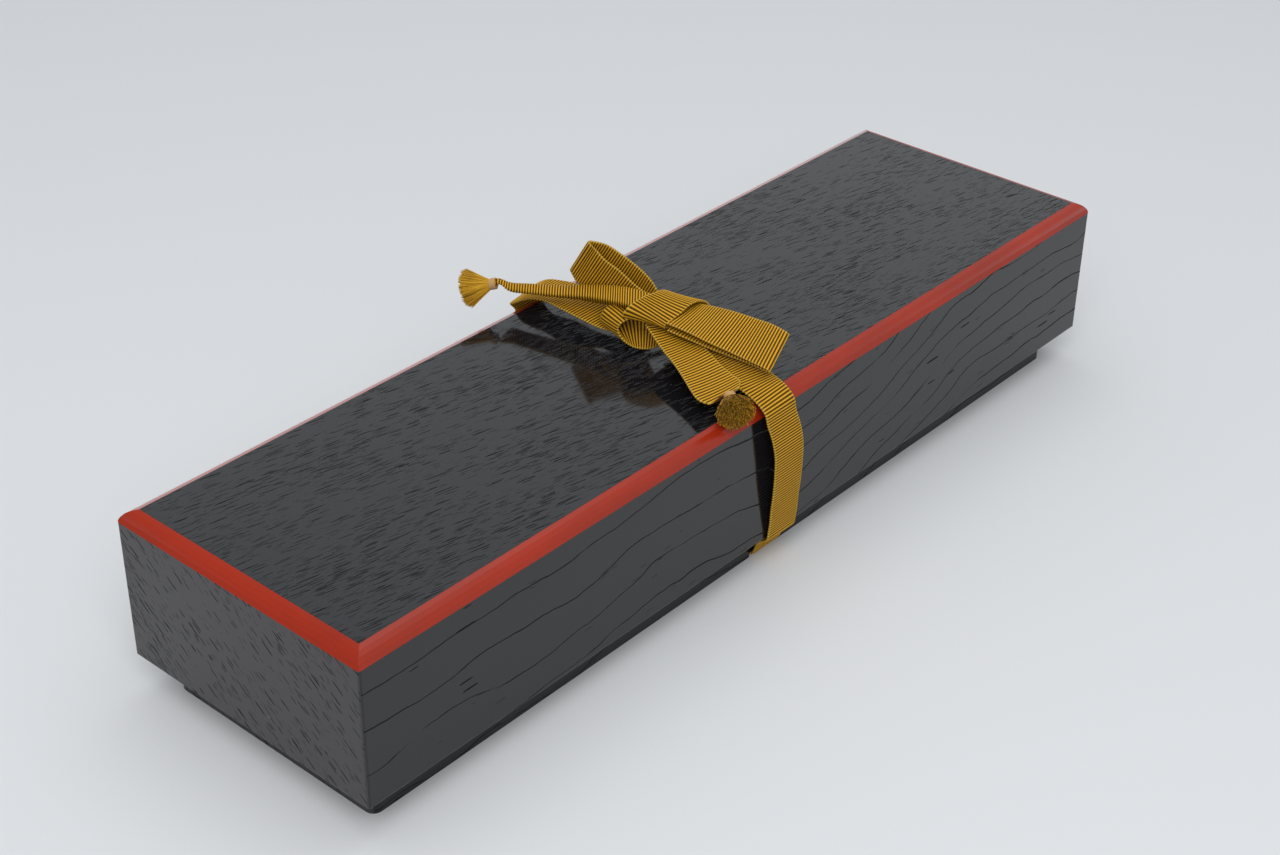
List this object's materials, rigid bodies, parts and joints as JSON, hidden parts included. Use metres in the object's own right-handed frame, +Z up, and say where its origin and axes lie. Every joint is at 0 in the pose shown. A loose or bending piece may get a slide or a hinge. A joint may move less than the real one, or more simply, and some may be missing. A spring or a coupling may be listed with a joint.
{
  "type": "poetry slip box",
  "caption": "Long lacquered box for poetry slips: a deep grained lid with a red bevelled edging over a tray, tied round with a tasselled ribbon in a bow.",
  "frame": {"origin": "centre of the footprint, on the surface that the tray stands on", "axes": "+X along the box, +Z up, and the long side that the picture shows faces -Y"},
  "size_m": [0.4, 0.1378, 0.106],
  "materials": {
    "black_lacquer": "glossy black lacquer over open-pored wood grain",
    "inner_lacquer": "smooth black lacquer",
    "red_lacquer": "smooth vermilion lacquer, semi-gloss",
    "key_wood": "bare planed wood, hidden in the mitres",
    "ribbon_silk": "ribbed grosgrain ribbon, mustard gold",
    "binding_thread": "twisted silk thread, pale pinkish gold",
    "tassel_silk": "cut silk strands, old gold, darker inside"
  },
  "bodies": {
    "tray": {"tray_bottom": "inner_lacquer", "tray_front_wall": "black_lacquer", "tray_left_wall": "black_lacquer", "tray_mitre_key_front_right": "key_wood", "tray_mitre_key_left_front": "key_wood", "tray_mitre_key_rear_left": "key_wood", "tray_mitre_key_right_rear": "key_wood", "tray_rear_wall": "black_lacquer", "tray_right_wall": "black_lacquer", "ribbon_under_run": "ribbon_silk", "ribbon_front_side_run": "ribbon_silk", "ribbon_rear_side_run": "ribbon_silk"},
    "lid": {"binding_thread_front": "binding_thread", "binding_thread_rear": "binding_thread", "lid_edging_front": "red_lacquer", "lid_edging_left": "red_lacquer", "lid_edging_rear": "red_lacquer", "lid_edging_right": "red_lacquer", "lid_front_wall": "black_lacquer", "lid_left_wall": "black_lacquer", "lid_mitre_key_front_right": "key_wood", "lid_mitre_key_left_front": "key_wood", "lid_mitre_key_rear_left": "key_wood", "lid_mitre_key_right_rear": "key_wood", "lid_panel": "black_lacquer", "lid_rear_wall": "black_lacquer", "lid_right_wall": "black_lacquer", "ribbon_front_lid_run": "ribbon_silk", "ribbon_front_loop": "ribbon_silk", "ribbon_front_tail": "ribbon_silk", "ribbon_half_knot": "ribbon_silk", "ribbon_knot_wrap": "ribbon_silk", "ribbon_rear_lid_run": "ribbon_silk", "ribbon_rear_loop": "ribbon_silk", "ribbon_rear_tail": "ribbon_silk", "tassel_front": "tassel_silk", "tassel_rear": "tassel_silk"}
  },
  "joints": [
    {"name": "lid_lift", "type": "slide", "parent": "tray", "child": "lid", "axis": [0, 0, 1], "range_m": [0, 0.055], "deforming": ["ribbon_front_side_run", "ribbon_rear_side_run"]}
  ]
}
